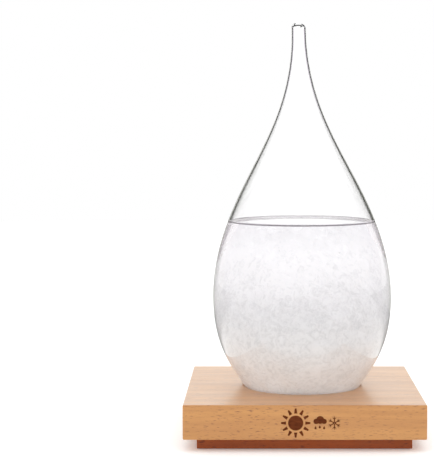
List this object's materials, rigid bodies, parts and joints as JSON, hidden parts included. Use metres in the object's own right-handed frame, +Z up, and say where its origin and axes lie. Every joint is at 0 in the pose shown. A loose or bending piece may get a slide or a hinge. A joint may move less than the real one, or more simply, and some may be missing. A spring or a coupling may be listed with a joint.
{
  "type": "storm glass",
  "caption": "Sealed drop-shaped storm glass with solution and crystals, standing in a shallow seat on a square wooden board with a stepped plinth.",
  "frame": {"origin": "centre of the underside of the pads, on the surface the part stands on", "axes": "+Z up along the drop's axis, -Y towards the front edge of the square board"},
  "size_m": [0.148, 0.148, 0.2632],
  "materials": {
    "glass": "gloss",
    "solution": "gloss",
    "settled_crystals": "matte",
    "loose_crystals": "matte",
    "beech": "satin",
    "dark_wood": "satin",
    "screw_steel": "satin",
    "pad_rubber": "matte"
  },
  "bodies": {
    "base": {"base_board": "beech", "plinth": "dark_wood", "plinth_screws": "screw_steel", "antislip_pads": "pad_rubber"},
    "glass_drop": {"glass_vessel": "glass", "storm_liquid": "solution", "crystal_bed": "settled_crystals", "crystal_plume": "loose_crystals", "loose_crystals": "loose_crystals"}
  },
  "joints": [
    {"name": "glass_lift", "type": "slide", "parent": "base", "child": "glass_drop", "axis": [0, 0, 1], "range_m": [0, 0.06]}
  ]
}
